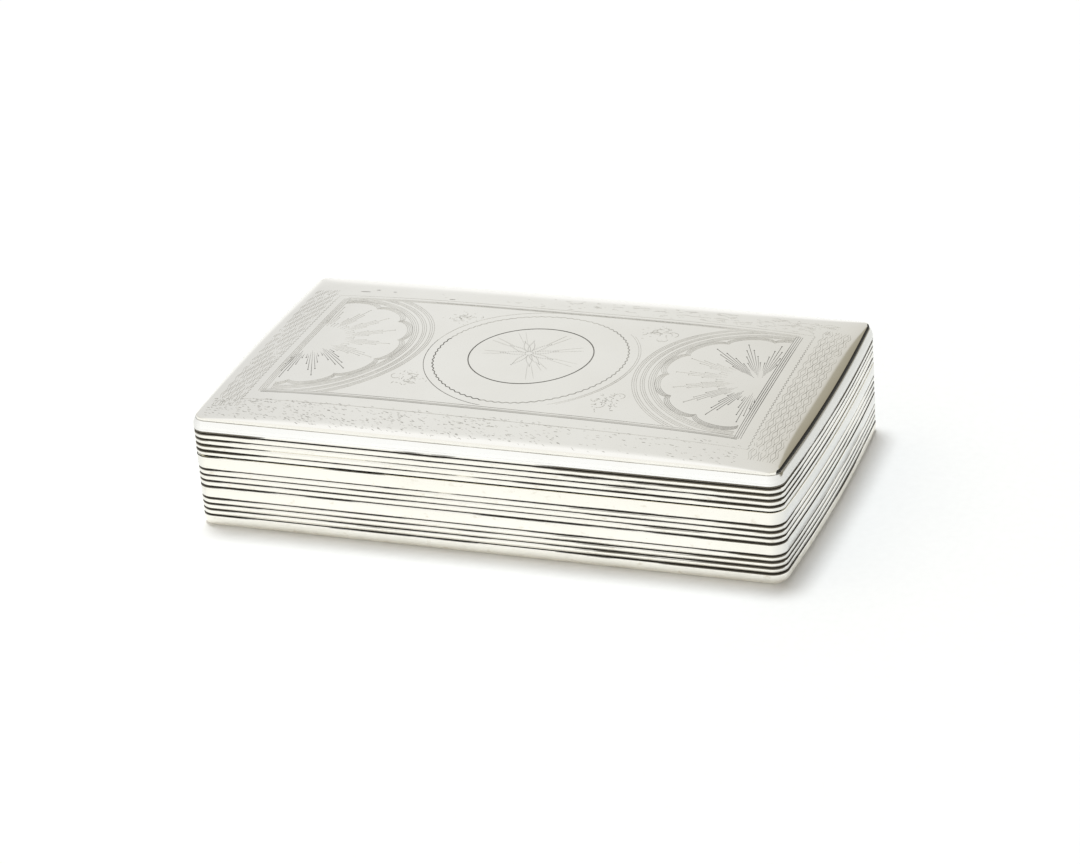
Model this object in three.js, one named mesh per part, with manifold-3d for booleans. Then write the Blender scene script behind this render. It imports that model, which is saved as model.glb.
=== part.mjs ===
// A rectangular silver snuff box with reeded walls, a domed lid and a flush hinge along the back.
// Millimetres, +Z up. The origin is on the floor under the middle of the box. The front faces -Y.
import * as THREE from "three";
import { mergeVertices } from "three/addons/utils/BufferGeometryUtils.js";
import Module from "manifold-3d";

const wasm = await Module();
wasm.setup();

// Outline of the box, seen from above
const LENGTH = 86.6; // over the middle of the bowed end walls, along X
const WIDTH = 48.6; // front wall to back wall, along Y
const CORNER_RADIUS = 2.2;
const END_WALL_RADIUS = 380; // slight bow of the two short ends

// Heights and sheets
const BODY_HEIGHT = 11.1; // floor to the joint plane between body and lid
const JOINT_GAP = 0.24; // daylight between the lid's edge and the body's edge
const WALL = 1.1; // reeded walls, over the reeds
const SHEET = 0.7; // base sheet and lid sheet
const BASE_RIM = 1.86; // plain band round the base, up to its seam with the wall
const BASE_EDGE_RADIUS = 1; // rounding under that band
const LID_RIM = 4.08; // reeded rim of the lid, up to where its edge starts to round over
const SEAM_HEIGHT = 1.1; // from there up to the seam where the lid sheet lies on the rim
const SEAM_DEPTH = 0.43; // how far the rim's rounded edge has drawn in at the seam
const SEAM_STEP = 0.05; // how far the lid sheet lies behind the rim at the seam
const SHEET_EDGE = 0.2; // upright edge of the lid sheet over the seam
const SEAT_CORNER = 0.15; // corner radius of the hollow under the lid sheet
const PILLOW_RISE = 2.22; // from that upright edge to the middle of the lid
const PILLOW_POWER = 3.4; // higher is flatter in the middle and steeper at the edge

// Reeding
const REED_PITCH = 0.88;
const REEDS_PER_GROUP = 3;
const GROOVE_DEPTH = 0.26;
const GROOVE_FLARE = 0.16; // half the mouth of a groove beside a plain band
const MIDDLE_BAND = 1.85; // plain band between the body's two groups of reeds
const LID_EDGE_BAND = 0.7; // from the lid's edge to its lowest groove

// Bezel: the thin collar inside the body that the lid closes over
const BEZEL_SHEET = 0.5;
const BEZEL_ABOVE = 1.6; // above the joint plane
const BEZEL_BELOW = 2.8; // below the joint plane
const BEZEL_CLEARANCE = 0.2; // to the inside of both walls
const BEZEL_STOP = 1.2; // how far it ends in front of the hinge bearers

// Hinge
const KNUCKLES = 9; // odd, so that the body has both end knuckles
const KNUCKLE_RADIUS = 1.15; // the barrel lies flush with the back wall
const KNUCKLE_GAP = 0.12; // between neighbours
const HINGE_RUN = 0.14; // knuckles to their channel
const LID_SWING = 95; // degrees that the lid opens
const SWING_SPARE = 8; // degrees left between the two walls when it is open
const PIN_RADIUS = 0.45;
const PIN_RUN = 0.08; // pin to the bore of a knuckle
const BEARER_DEPTH = 2.4; // axis to the inner edge of a bearer strip
const BEARER_HEIGHT = 2.7; // joint plane to the far edge of a bearer strip
const SOLDER_GAP = 0.05; // bearer strip to its wall
const PLUG_BORE = 1.2; // how far the pin reaches into an end plug

// Facets
const CORNER_STEPS = 5;
const END_STEPS = 4;
const SIDE_STEPS = 6;
const REED_STEPS = 4;
const EDGE_STEPS = 4;
const BARREL_STEPS = 20;
const PILLOW_SCALES = [1, 0.9965, 0.985, 0.966, 0.94, 0.9, 0.84, 0.75, 0.6, 0.35]; // shares of its edge
const HOLLOW_SCALES = [0.35, 0.6, 0.77, 0.89, 0.96]; // shares of the hollow's edge under the lid sheet

// Places that follow from the sizes above
const BODY_TOP = BODY_HEIGHT - JOINT_GAP / 2;
const LID_BOTTOM = BODY_HEIGHT + JOINT_GAP / 2;
const LID_RIM_TOP = LID_BOTTOM + LID_RIM;
const LID_SEAM = LID_RIM_TOP + SEAM_HEIGHT;
const PILLOW_FOOT = LID_SEAM + SHEET_EDGE;
const PILLOW_EDGE = -SEAM_DEPTH - SEAM_STEP; // offset of the lid sheet from the outline
const PILLOW_HALF_X = LENGTH / 2 + PILLOW_EDGE;
const PILLOW_HALF_Y = WIDTH / 2 + PILLOW_EDGE;
const GROUP_HEIGHT = REEDS_PER_GROUP * REED_PITCH;
const UPPER_GROUP = BASE_RIM + GROUP_HEIGHT + MIDDLE_BAND;
const HINGE_Y = WIDTH / 2 - KNUCKLE_RADIUS;
const CHANNEL_RADIUS = KNUCKLE_RADIUS + HINGE_RUN;
const SLOT_HALF = KNUCKLE_RADIUS * Math.tan(THREE.MathUtils.degToRad(LID_SWING + SWING_SPARE) / 2);
const CORNER_Y = WIDTH / 2 - CORNER_RADIUS;
const END_CENTRE_X = LENGTH / 2 - END_WALL_RADIUS;
const END_ANGLE = Math.asin(CORNER_Y / (END_WALL_RADIUS - CORNER_RADIUS));
const CORNER_X = END_CENTRE_X + (END_WALL_RADIUS - CORNER_RADIUS) * Math.cos(END_ANGLE);
const ROW_LENGTH = 2 * CORNER_X; // the knuckles fill the straight part of the back wall
const CHANNEL_HALF = CORNER_X + Math.sqrt(CORNER_RADIUS ** 2 - (CORNER_RADIUS - KNUCKLE_RADIUS) ** 2);

const silver = new THREE.MeshStandardMaterial({ color: 0xe4e1d8, roughness: 0.22, metalness: 1 });
const engravedSilver = new THREE.MeshStandardMaterial({ color: 0xdedbd3, roughness: 0.3, metalness: 1 });
const hingeSilver = new THREE.MeshStandardMaterial({ color: 0xcfcbc0, roughness: 0.34, metalness: 1 });
const pinSteel = new THREE.MeshStandardMaterial({ color: 0xa9a69e, roughness: 0.4, metalness: 1 });

// Stations along the outline, counter-clockwise from above: a point and its outward normal.
function makeStations() {
  const stations = [];
  const arc = (cx, cy, radius, from, to, steps) => {
    for (let i = 0; i < steps; i++) {
      const angle = from + ((to - from) * i) / steps;
      const nx = Math.cos(angle);
      const ny = Math.sin(angle);
      stations.push({ x: cx + radius * nx, y: cy + radius * ny, nx, ny });
    }
  };
  const side = (fromX, toX, y) => {
    for (let i = 0; i < SIDE_STEPS; i++) {
      stations.push({ x: fromX + ((toX - fromX) * i) / SIDE_STEPS, y, nx: 0, ny: Math.sign(y) });
    }
  };
  const quarter = Math.PI / 2;
  const turn = 2 * Math.PI;
  arc(END_CENTRE_X, 0, END_WALL_RADIUS, -END_ANGLE, END_ANGLE, END_STEPS);
  arc(CORNER_X, CORNER_Y, CORNER_RADIUS, END_ANGLE, quarter, CORNER_STEPS);
  side(CORNER_X, -CORNER_X, WIDTH / 2);
  arc(-CORNER_X, CORNER_Y, CORNER_RADIUS, quarter, 2 * quarter - END_ANGLE, CORNER_STEPS);
  arc(-END_CENTRE_X, 0, END_WALL_RADIUS, 2 * quarter - END_ANGLE, 2 * quarter + END_ANGLE, END_STEPS);
  arc(-CORNER_X, -CORNER_Y, CORNER_RADIUS, 2 * quarter + END_ANGLE, 3 * quarter, CORNER_STEPS);
  side(-CORNER_X, CORNER_X, -WIDTH / 2);
  arc(CORNER_X, -CORNER_Y, CORNER_RADIUS, 3 * quarter, turn - END_ANGLE, CORNER_STEPS);
  return stations;
}
const stations = makeStations();

// One level ring: the outline moved in or out by an offset, at a height.
function ring(offset, z) {
  return stations.map((s) => new THREE.Vector3(s.x + s.nx * offset, s.y + s.ny * offset, z));
}

// A closed surface over rings that run up the outside and back over the inside.
// With the heights of its two middles, a fan closes each end. Without, the last ring joins the first.
function loft(rings, middles) {
  const count = stations.length;
  const points = rings.flat();
  const faces = [];
  const joins = middles ? rings.length - 1 : rings.length;
  for (let k = 0; k < joins; k++) {
    const low = k * count;
    const high = ((k + 1) % rings.length) * count;
    for (let i = 0; i < count; i++) {
      const next = (i + 1) % count;
      faces.push(low + i, low + next, high + next, low + i, high + next, high + i);
    }
  }
  if (middles) {
    const last = (rings.length - 1) * count;
    const first = points.length;
    points.push(...middles.map((z) => new THREE.Vector3(0, 0, z)));
    for (let i = 0; i < count; i++) {
      const next = (i + 1) % count;
      faces.push(first, next, i, first + 1, last + i, last + next);
    }
  }
  const geometry = new THREE.BufferGeometry().setFromPoints(points);
  geometry.setIndex(faces);
  return geometry;
}

// A wall that runs right round: its section is a list of [offset, height] points.
const sweep = (section) => loft(section.map(([offset, z]) => ring(offset, z)));

// The outside of a group of reeds from its lowest groove to its highest, as half-round ribs.
function reedGroup(lowest) {
  const points = [];
  for (let reed = 0; reed < REEDS_PER_GROUP; reed++) {
    for (let step = 0; step < REED_STEPS; step++) {
      const angle = (Math.PI * step) / REED_STEPS;
      const rise = (REED_PITCH * (1 - Math.cos(angle))) / 2;
      points.push([GROOVE_DEPTH * (Math.sin(angle) - 1), lowest + reed * REED_PITCH + rise]);
    }
  }
  points.push([-GROOVE_DEPTH, lowest + GROUP_HEIGHT]);
  return points;
}

// The lid rim's rounded edge: an arc that starts upright and draws in up to the seam.
function rimEdge() {
  const lean = 2 * Math.atan(SEAM_DEPTH / SEAM_HEIGHT);
  const radius = SEAM_HEIGHT / Math.sin(lean);
  const points = [];
  for (let i = 0; i <= EDGE_STEPS; i++) {
    const angle = (lean * i) / EDGE_STEPS;
    points.push([radius * (Math.cos(angle) - 1), LID_RIM_TOP + radius * Math.sin(angle)]);
  }
  return points;
}

// Height of the lid's outside over a point in plan: it falls off to all four sides and most to the corners.
function pillow(x, y) {
  const across = 1 - (Math.abs(x) / PILLOW_HALF_X) ** PILLOW_POWER;
  const deep = 1 - (Math.abs(y) / PILLOW_HALF_Y) ** PILLOW_POWER;
  return PILLOW_FOOT + PILLOW_RISE * Math.sqrt(Math.max(0, across * deep));
}

// Booleans on closed geometries
function toSolid(geometry) {
  const bare = geometry.clone();
  bare.deleteAttribute("normal");
  bare.deleteAttribute("uv");
  const merged = mergeVertices(bare, 1e-4);
  return new wasm.Manifold(
    new wasm.Mesh({
      numProp: 3,
      vertProperties: new Float32Array(merged.getAttribute("position").array),
      triVerts: new Uint32Array(merged.getIndex().array),
    }),
  );
}

function toGeometry(solid) {
  const { vertProperties, triVerts } = solid.getMesh();
  const geometry = new THREE.BufferGeometry();
  geometry.setAttribute("position", new THREE.BufferAttribute(vertProperties, 3));
  geometry.setIndex(new THREE.BufferAttribute(triVerts, 1));
  return geometry;
}

// A round bar on the hinge axis, from one place along the box to another.
function axisBar(radius, from, to) {
  const bar = new THREE.CylinderGeometry(radius, radius, Math.abs(to - from), BARREL_STEPS);
  return bar.rotateZ(Math.PI / 2).translate((from + to) / 2, HINGE_Y, BODY_HEIGHT);
}

// A wall with room for the hinge at the back: a round channel for the barrel and, behind the axis,
// a slot as high as the lid's swing needs. Both reach to where the corners turn in past the axis.
function notched(wall) {
  const half = CHANNEL_HALF + HINGE_RUN;
  const slot = new THREE.BoxGeometry(2 * half, 2 * KNUCKLE_RADIUS, 2 * SLOT_HALF);
  slot.translate(0, HINGE_Y + KNUCKLE_RADIUS, BODY_HEIGHT);
  const channel = toSolid(axisBar(CHANNEL_RADIUS, -half, half));
  return toGeometry(toSolid(wall).subtract(channel.add(toSolid(slot))));
}

// Base pan: flat underneath, with a rounded edge turned up into a plain band.
function basePan() {
  const rings = [];
  for (let i = 0; i <= EDGE_STEPS; i++) {
    const angle = ((Math.PI / 2) * i) / EDGE_STEPS;
    rings.push(ring(BASE_EDGE_RADIUS * (Math.sin(angle) - 1), BASE_EDGE_RADIUS * (1 - Math.cos(angle))));
  }
  rings.push(ring(0, BASE_RIM - GROOVE_FLARE));
  rings.push(ring(-GROOVE_DEPTH, BASE_RIM));
  rings.push(ring(-WALL, BASE_RIM));
  rings.push(ring(-WALL, SHEET));
  return loft(rings, [0, SHEET]);
}

// Body wall: two groups of reeds, with plain bands between them and up to the joint.
function bodyWall() {
  const section = [
    ...reedGroup(BASE_RIM),
    [0, BASE_RIM + GROUP_HEIGHT + GROOVE_FLARE],
    [0, UPPER_GROUP - GROOVE_FLARE],
    ...reedGroup(UPPER_GROUP),
    [0, UPPER_GROUP + GROUP_HEIGHT + GROOVE_FLARE],
    [0, BODY_TOP],
    [-WALL, BODY_TOP],
    [-WALL, BASE_RIM],
  ];
  return notched(sweep(section));
}

// Lid rim: one group of reeds over a narrow plain edge. Above them it starts to round over to the lid.
function lidRim() {
  const lowest = LID_BOTTOM + LID_EDGE_BAND;
  const section = [
    [0, LID_BOTTOM],
    [0, lowest - GROOVE_FLARE],
    ...reedGroup(lowest),
    [0, lowest + GROUP_HEIGHT + GROOVE_FLARE],
    ...rimEdge(),
    [-WALL, LID_SEAM],
    [-WALL, LID_BOTTOM],
  ];
  return notched(sweep(section));
}

// Lid sheet: a pillow of one thickness that lies flat on the rim.
// Bowed ends and round corners are stretched to the full half length, so that its whole edge is level.
function lidTop() {
  const edge = ring(PILLOW_EDGE, LID_SEAM);
  const seat = ring(SEAT_CORNER - CORNER_RADIUS, LID_SEAM);
  const stretch = edge.map((p) => 1 / Math.max(Math.abs(p.x) / PILLOW_HALF_X, Math.abs(p.y) / PILLOW_HALF_Y));
  const domed = (outline, scale, drop) =>
    outline.map((p, i) => {
      const z = pillow(p.x * scale * stretch[i], p.y * scale * stretch[i]) - drop;
      return new THREE.Vector3(p.x * scale, p.y * scale, Math.max(z, LID_SEAM));
    });
  const rings = [
    ...HOLLOW_SCALES.map((scale) => domed(seat, scale, SHEET)),
    seat,
    edge,
    ...PILLOW_SCALES.map((scale) => domed(edge, scale, 0)),
  ];
  const top = PILLOW_FOOT + PILLOW_RISE;
  return loft(rings, [top - SHEET, top]);
}

// Bezel: a collar inside the front and the two ends, stopped short of the hinge.
function bezel() {
  const outer = -WALL - BEZEL_CLEARANCE;
  const inner = outer - BEZEL_SHEET;
  const low = BODY_HEIGHT - BEZEL_BELOW;
  const high = BODY_HEIGHT + BEZEL_ABOVE;
  const collar = sweep([[outer, low], [outer, high], [inner, high], [inner, low]]);
  const stop = HINGE_Y - BEARER_DEPTH - BEZEL_STOP;
  const behind = new THREE.BoxGeometry(LENGTH, WIDTH, 2 * (BEZEL_BELOW + BEZEL_ABOVE));
  behind.translate(0, stop + WIDTH / 2, BODY_HEIGHT);
  return toGeometry(toSolid(collar).subtract(toSolid(behind)));
}

// Hinge pieces lie in a frame with its origin on the axis: x is to the back, y is up, z is along the box.
function knuckle(length) {
  const section = new THREE.Shape().absarc(0, 0, KNUCKLE_RADIUS, 0, 2 * Math.PI, false);
  section.holes.push(new THREE.Path().absarc(0, 0, PIN_RADIUS + PIN_RUN, 0, 2 * Math.PI, true));
  const tube = { depth: length, bevelEnabled: false, curveSegments: BARREL_STEPS / 2 };
  return new THREE.ExtrudeGeometry(section, tube).translate(0, 0, -length / 2);
}

// A strip soldered inside a wall, hollowed along its edge to carry the knuckles. up is 1 for the lid.
function bearer(up) {
  const outer = KNUCKLE_RADIUS - WALL - SOLDER_GAP;
  const near = JOINT_GAP / 2;
  const startAngle = Math.acos(outer / CHANNEL_RADIUS);
  const endAngle = Math.PI - Math.asin(near / CHANNEL_RADIUS);
  const section = new THREE.Shape();
  section.moveTo(-BEARER_DEPTH, (up * (near + BEARER_HEIGHT)) / 2);
  section.lineTo(outer, up * BEARER_HEIGHT);
  section.absarc(0, 0, CHANNEL_RADIUS, up * startAngle, up * endAngle, up < 0);
  section.lineTo(-BEARER_DEPTH, up * near);
  section.closePath();
  const strip = { depth: ROW_LENGTH, bevelEnabled: false, curveSegments: BARREL_STEPS / 4 };
  return new THREE.ExtrudeGeometry(section, strip).translate(0, 0, -ROW_LENGTH / 2);
}

function pin() {
  const length = ROW_LENGTH + 2 * PLUG_BORE;
  return new THREE.CylinderGeometry(PIN_RADIUS, PIN_RADIUS, length, BARREL_STEPS).rotateX(Math.PI / 2);
}

// End plug: a stub of the barrel, bored for the pin and filed flush with the corner. side is 1 or -1.
function plug(side) {
  const start = side * (ROW_LENGTH / 2 + KNUCKLE_GAP / 2);
  const end = side * CHANNEL_HALF;
  const boreEnd = side * (ROW_LENGTH / 2 + PLUG_BORE + PIN_RUN);
  const stub = toSolid(axisBar(KNUCKLE_RADIUS, start, end));
  const bore = toSolid(axisBar(PIN_RADIUS + PIN_RUN, 0, boreEnd));
  const outline = loft([ring(0, 0), ring(0, LID_SEAM)], [0, LID_SEAM]);
  return toGeometry(stub.subtract(bore).intersect(toSolid(outline)));
}

function piece(parent, name, geometry, material) {
  const mesh = new THREE.Mesh(geometry, material);
  mesh.name = name;
  parent.add(mesh);
  return mesh;
}

const box = new THREE.Group();
const body = new THREE.Group();
const lid = new THREE.Group();
const hinge = new THREE.Group();
hinge.position.set(0, HINGE_Y, BODY_HEIGHT);
hinge.rotation.set(Math.PI / 2, Math.PI / 2, 0); // local z runs along the box, local y points up
box.add(body, lid, hinge);

piece(body, "base_pan", basePan(), silver);
piece(body, "body_wall", bodyWall(), silver);
piece(body, "body_bezel", bezel(), silver);
piece(lid, "lid_rim", lidRim(), silver);
piece(lid, "lid_top", lidTop(), engravedSilver);
piece(hinge, "body_hinge_bearer", bearer(-1), hingeSilver);
piece(hinge, "lid_hinge_bearer", bearer(1), hingeSilver);
piece(hinge, "hinge_pin", pin(), pinSteel);

// Knuckles alternate along the pin. The body has the first and the last.
const share = ROW_LENGTH / KNUCKLES;
for (let i = 0; i < KNUCKLES; i++) {
  const owner = i % 2 ? "lid" : "body";
  const name = `${owner}_knuckle_${Math.floor(i / 2) + 1}`;
  const mesh = piece(hinge, name, knuckle(share - KNUCKLE_GAP), hingeSilver);
  mesh.position.z = (i + 0.5) * share - ROW_LENGTH / 2;
}
piece(body, "hinge_plug_right", plug(1), hingeSilver);
piece(body, "hinge_plug_left", plug(-1), hingeSilver);

export default box;
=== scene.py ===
"""Looks of a silver snuff box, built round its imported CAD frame.

Lengths are millimetres up to the point where a mesh is made, and metres in the materials.
X runs along the box, Y from the front to the hinge at the back, Z up from the floor.
"""

import math
import random

import bpy
from mathutils import Matrix, Vector
from mathutils import noise as noise_field


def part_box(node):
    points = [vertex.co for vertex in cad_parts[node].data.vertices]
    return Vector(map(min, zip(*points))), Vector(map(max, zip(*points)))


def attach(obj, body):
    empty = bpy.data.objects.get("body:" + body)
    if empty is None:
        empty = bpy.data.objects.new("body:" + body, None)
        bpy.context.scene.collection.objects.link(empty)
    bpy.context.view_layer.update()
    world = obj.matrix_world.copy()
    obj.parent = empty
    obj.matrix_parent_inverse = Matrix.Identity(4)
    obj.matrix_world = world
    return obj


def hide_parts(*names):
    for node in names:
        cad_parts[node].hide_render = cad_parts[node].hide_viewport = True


MM = 0.001
SEED = 7

# Sizes of the frame that its boxes don't show
CORNER_RADIUS = 2.2
END_WALL_RADIUS = 380.0
WALL = 1.1
SHEET = 0.7
BASE_EDGE_RADIUS = 1.0
SEAM_HEIGHT = 1.1
SEAM_DEPTH = 0.43
SEAM_STEP = 0.05
SHEET_EDGE = 0.2
SEAT_CORNER = 0.15
PILLOW_POWER = 3.4
REED_PITCH = 0.88
REEDS_PER_GROUP = 3
GROOVE_DEPTH = 0.26
GROOVE_FLARE = 0.16
MIDDLE_BAND = 1.85
LID_EDGE_BAND = 0.7
BEZEL_SHEET = 0.5
BEZEL_CLEARANCE = 0.2
HINGE_RUN = 0.14
PIN_RADIUS = 0.45
PIN_RUN = 0.08
OPEN_HALF_ANGLE = 51.5
BODY_KNUCKLES = 5
LID_KNUCKLES = 4

# Rounded edges and fillets that only the looks have
JOINT_EDGE = 0.1
JOINT_EDGE_MIDDLE = 0.03
PAN_FILLET = 0.5
PAN_FILLET_MIDDLE = 0.15
PAN_FLAT = 0.4
BEZEL_EDGE = 0.3
BEZEL_EDGE_MIDDLE = 0.09
BEZEL_INNER_EDGE = 0.12
BEZEL_INNER_STEP = (0.09, 0.03)
KNUCKLE_EDGE = 0.07
KNUCKLE_EDGE_MIDDLE = 0.021

# Fine line round the rim, below its rounded edge: where it starts, and where its bottom starts and ends
RIM_LINE = (0.12, 0.08, 0.05)
RIM_LINE_DEPTH = 0.025
# The nick along the seam: how far below it the nick starts and is deepest, how far out it starts
# and how far in it goes
SEAM_NICK = (0.09, 0.05)
SEAM_NICK_START = 0.02
SEAM_NICK_DEPTH = 0.07
TOP_GROOVE_DIRT = 0.38  # how far dirt reaches up over the lid's top groove

# Fineness of the meshes
CORNER_STEPS = 14
END_STEPS = 24
SIDE_STEPS = 60
REED_STEPS = 16
EDGE_STEPS = 10
BARREL_STEPS = 48
PILLOW_RINGS = 44
PILLOW_CROWN = (0.75, 0.5, 0.25)
HOLLOW_SCALES = (0.1, 0.25, 0.4, 0.55, 0.68, 0.78, 0.86, 0.92, 0.96, 0.985)
SEAM_RINGS = 6  # of the lid sheet's outside, with a painted dark reflection along the right end
SHARP_ANGLE = 35.0
LINE_SHARP_ANGLE = 60.0
CUT_MARGIN = 1.0

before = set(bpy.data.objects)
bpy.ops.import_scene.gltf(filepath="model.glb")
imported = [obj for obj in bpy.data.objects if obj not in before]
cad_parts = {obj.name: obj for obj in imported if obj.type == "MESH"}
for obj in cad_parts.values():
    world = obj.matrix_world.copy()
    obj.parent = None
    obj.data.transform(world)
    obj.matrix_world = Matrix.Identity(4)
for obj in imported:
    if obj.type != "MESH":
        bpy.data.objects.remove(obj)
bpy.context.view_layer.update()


def box_mm(node):
    low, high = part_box(node)
    return low / MM, high / MM


pan_low, pan_high = box_mm("base_pan")
rim_low, rim_high = box_mm("lid_rim")
bezel_low, bezel_high = box_mm("body_bezel")
knuckle_low, knuckle_high = box_mm("body_knuckle_1")

LENGTH = pan_high.x - pan_low.x
WIDTH = pan_high.y - pan_low.y
BASE_RIM = pan_high.z
BODY_TOP = box_mm("body_wall")[1].z
LID_BOTTOM = rim_low.z
LID_SEAM = rim_high.z
LID_RIM_TOP = LID_SEAM - SEAM_HEIGHT
LID_TOP = box_mm("lid_top")[1].z
JOINT_Z = (BODY_TOP + LID_BOTTOM) / 2
KNUCKLE_RADIUS = (knuckle_high.z - knuckle_low.z) / 2
HINGE_Y = (knuckle_high.y + knuckle_low.y) / 2
CHANNEL_RADIUS = KNUCKLE_RADIUS + HINGE_RUN
SLOT_HALF = KNUCKLE_RADIUS * math.tan(math.radians(OPEN_HALF_ANGLE))
CHANNEL_HALF = box_mm("hinge_plug_right")[1].x + HINGE_RUN
GROUP_HEIGHT = REEDS_PER_GROUP * REED_PITCH
UPPER_GROUP = BASE_RIM + GROUP_HEIGHT + MIDDLE_BAND
CORNER_Y = WIDTH / 2 - CORNER_RADIUS
END_CENTRE_X = LENGTH / 2 - END_WALL_RADIUS
END_ANGLE = math.asin(CORNER_Y / (END_WALL_RADIUS - CORNER_RADIUS))
CORNER_X = END_CENTRE_X + (END_WALL_RADIUS - CORNER_RADIUS) * math.cos(END_ANGLE)

# Lid sheet: a pillow on an upright edge, with room over it for the tops of the engraved lines
LINE_ROOM = 0.018
LINE_TOP = 0.9 * LINE_ROOM
LINE_DEPTH = 0.05
PILLOW_EDGE = -SEAM_DEPTH - SEAM_STEP
PILLOW_HALF_Y = WIDTH / 2 + PILLOW_EDGE
PILLOW_FOOT = LID_SEAM + SHEET_EDGE
PILLOW_RISE = LID_TOP - LINE_ROOM - PILLOW_FOOT

rng = random.Random(SEED)


# Materials

# Sockets of a Mix node that mixes colours
MIX_SHARE, MIX_FIRST, MIX_SECOND, MIX_RESULT = 0, 6, 7, 2

# Where most of a noise texture's values lie
NOISE_SPAN = (0.3, 0.7)


def new_material(name):
    material = bpy.data.materials.new(name)
    material.use_nodes = True
    tree = material.node_tree
    shader = tree.nodes["Principled BSDF"]
    return material, tree, shader


def link(tree, source, target):
    tree.links.new(source, target)


def noise(tree, scale, detail=4.0, stretch=None, shift=0.0):
    """Noise in the frame of the object. stretch scales the three axes, shift moves it along X."""
    place_in = tree.nodes.new("ShaderNodeTexCoord")
    texture = tree.nodes.new("ShaderNodeTexNoise")
    texture.inputs["Scale"].default_value = scale
    texture.inputs["Detail"].default_value = detail
    if stretch:
        mapping = tree.nodes.new("ShaderNodeMapping")
        mapping.inputs["Scale"].default_value = stretch
        mapping.inputs["Location"].default_value = (-shift * stretch[0], 0.0, 0.0)
        link(tree, place_in.outputs["Object"], mapping.inputs["Vector"])
        link(tree, mapping.outputs["Vector"], texture.inputs["Vector"])
    else:
        link(tree, place_in.outputs["Object"], texture.inputs["Vector"])
    return texture.outputs["Fac"]


def ramp(tree, value, stops):
    node = tree.nodes.new("ShaderNodeValToRGB")
    elements = node.color_ramp.elements
    while len(elements) < len(stops):
        elements.new(0.5)
    for element, (position, colour) in zip(elements, stops):
        element.position = position
        element.color = (*colour, 1.0)
    link(tree, value, node.inputs["Fac"])
    return node.outputs["Color"]


def spread(tree, value, low, high, to_low, to_high, soft=False):
    """A value between low and high, brought to between to_low and to_high and held there."""
    node = tree.nodes.new("ShaderNodeMapRange")
    if soft:
        node.interpolation_type = "SMOOTHSTEP"
    node.inputs["From Min"].default_value = low
    node.inputs["From Max"].default_value = high
    node.inputs["To Min"].default_value = to_low
    node.inputs["To Max"].default_value = to_high
    link(tree, value, node.inputs["Value"])
    return node.outputs["Result"]


def math_node(tree, operation, first, second=None):
    node = tree.nodes.new("ShaderNodeMath")
    node.operation = operation
    link(tree, first, node.inputs[0])
    if second:
        link(tree, second, node.inputs[1])
    return node.outputs[0]


def blend(tree, share, first, second):
    """A colour that goes over from first to second. Each is a socket or a fixed colour."""
    node = tree.nodes.new("ShaderNodeMix")
    node.data_type = "RGBA"
    link(tree, share, node.inputs[MIX_SHARE])
    for colour, socket in ((first, MIX_FIRST), (second, MIX_SECOND)):
        if isinstance(colour, tuple):
            node.inputs[socket].default_value = (*colour, 1.0)
        else:
            link(tree, colour, node.inputs[socket])
    return node.outputs[MIX_RESULT]


def axes(tree, space):
    """X, Y and Z: of a place with space Object, of a direction with Generated in the world."""
    place_in = tree.nodes.new("ShaderNodeTexCoord")
    parts = tree.nodes.new("ShaderNodeSeparateXYZ")
    link(tree, place_in.outputs[space], parts.inputs["Vector"])
    return parts.outputs["X"], parts.outputs["Y"], parts.outputs["Z"]


def bump(tree, shader, height, strength, distance):
    node = tree.nodes.new("ShaderNodeBump")
    node.inputs["Strength"].default_value = strength
    node.inputs["Distance"].default_value = distance
    link(tree, height, node.inputs["Height"])
    link(tree, node.outputs["Normal"], shader.inputs["Normal"])


# Noises: scale, detail, stretch of the axes and shift along X
TONE_NOISE = (140.0,)
SPOT_NOISE = (1100.0, 6.0, (0.6, 0.6, 1.0))
GLOSS_NOISE = (420.0, 6.0)
SCRATCH_NOISE = (2600.0, 3.0, (1.0, 3.0, 3.0))
DIRT_NOISE = (70.0, 5.0, (0.8, 0.8, 5.0), 0.010)
TONE_SPAN = (0.35, 0.62)
SPOT_SPAN = (0.60, 0.74)
SCRATCH_DEPTH = 0.00004
END_TURN = (0.0407, 0.0427)  # where the long sides turn into the ends


def silver(name, light, shade, rough, scratch=0.05, spots=None, ends=None):
    """Worn polished silver: two close tones, uneven gloss and a fine grain.

    spots is the colour of small stains, ends the painted darker reflection that the two ends of the box
    take.
    """
    material, tree, shader = new_material(name)
    shader.inputs["Metallic"].default_value = 1.0
    colour = ramp(tree, noise(tree, *TONE_NOISE), list(zip(TONE_SPAN, (shade, light))))
    if spots:
        share = spread(tree, noise(tree, *SPOT_NOISE), *SPOT_SPAN, 0.0, 1.0)
        colour = blend(tree, share, colour, spots)
    # Painted darker reflection: the two ends of the box turn to the ends tone
    if ends:
        away = math_node(tree, "ABSOLUTE", axes(tree, "Object")[0])
        colour = blend(tree, spread(tree, away, *END_TURN, 0.0, 1.0), colour, ends)
    link(tree, colour, shader.inputs["Base Color"])
    gloss = noise(tree, *GLOSS_NOISE)
    link(tree, spread(tree, gloss, *NOISE_SPAN, *rough), shader.inputs["Roughness"])
    bump(tree, shader, noise(tree, *SCRATCH_NOISE), scratch, SCRATCH_DEPTH)
    return material


CLEAN = (0.93, 0.91, 0.85)
DIRT_SPAN = (0.22, 0.78)
DIRT_FADE = 0.16
# Half dirty: at which share of dirt, and how its tone comes from the deep one
HALF_DIRTY = 0.45
HALF_SHARE = 0.5
HALF_LIGHT = 0.24
# From clean to dirty
DIRT_METALLIC = (1.0, 0.2)
DIRT_ROUGHNESS = (0.15, 0.6)
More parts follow.
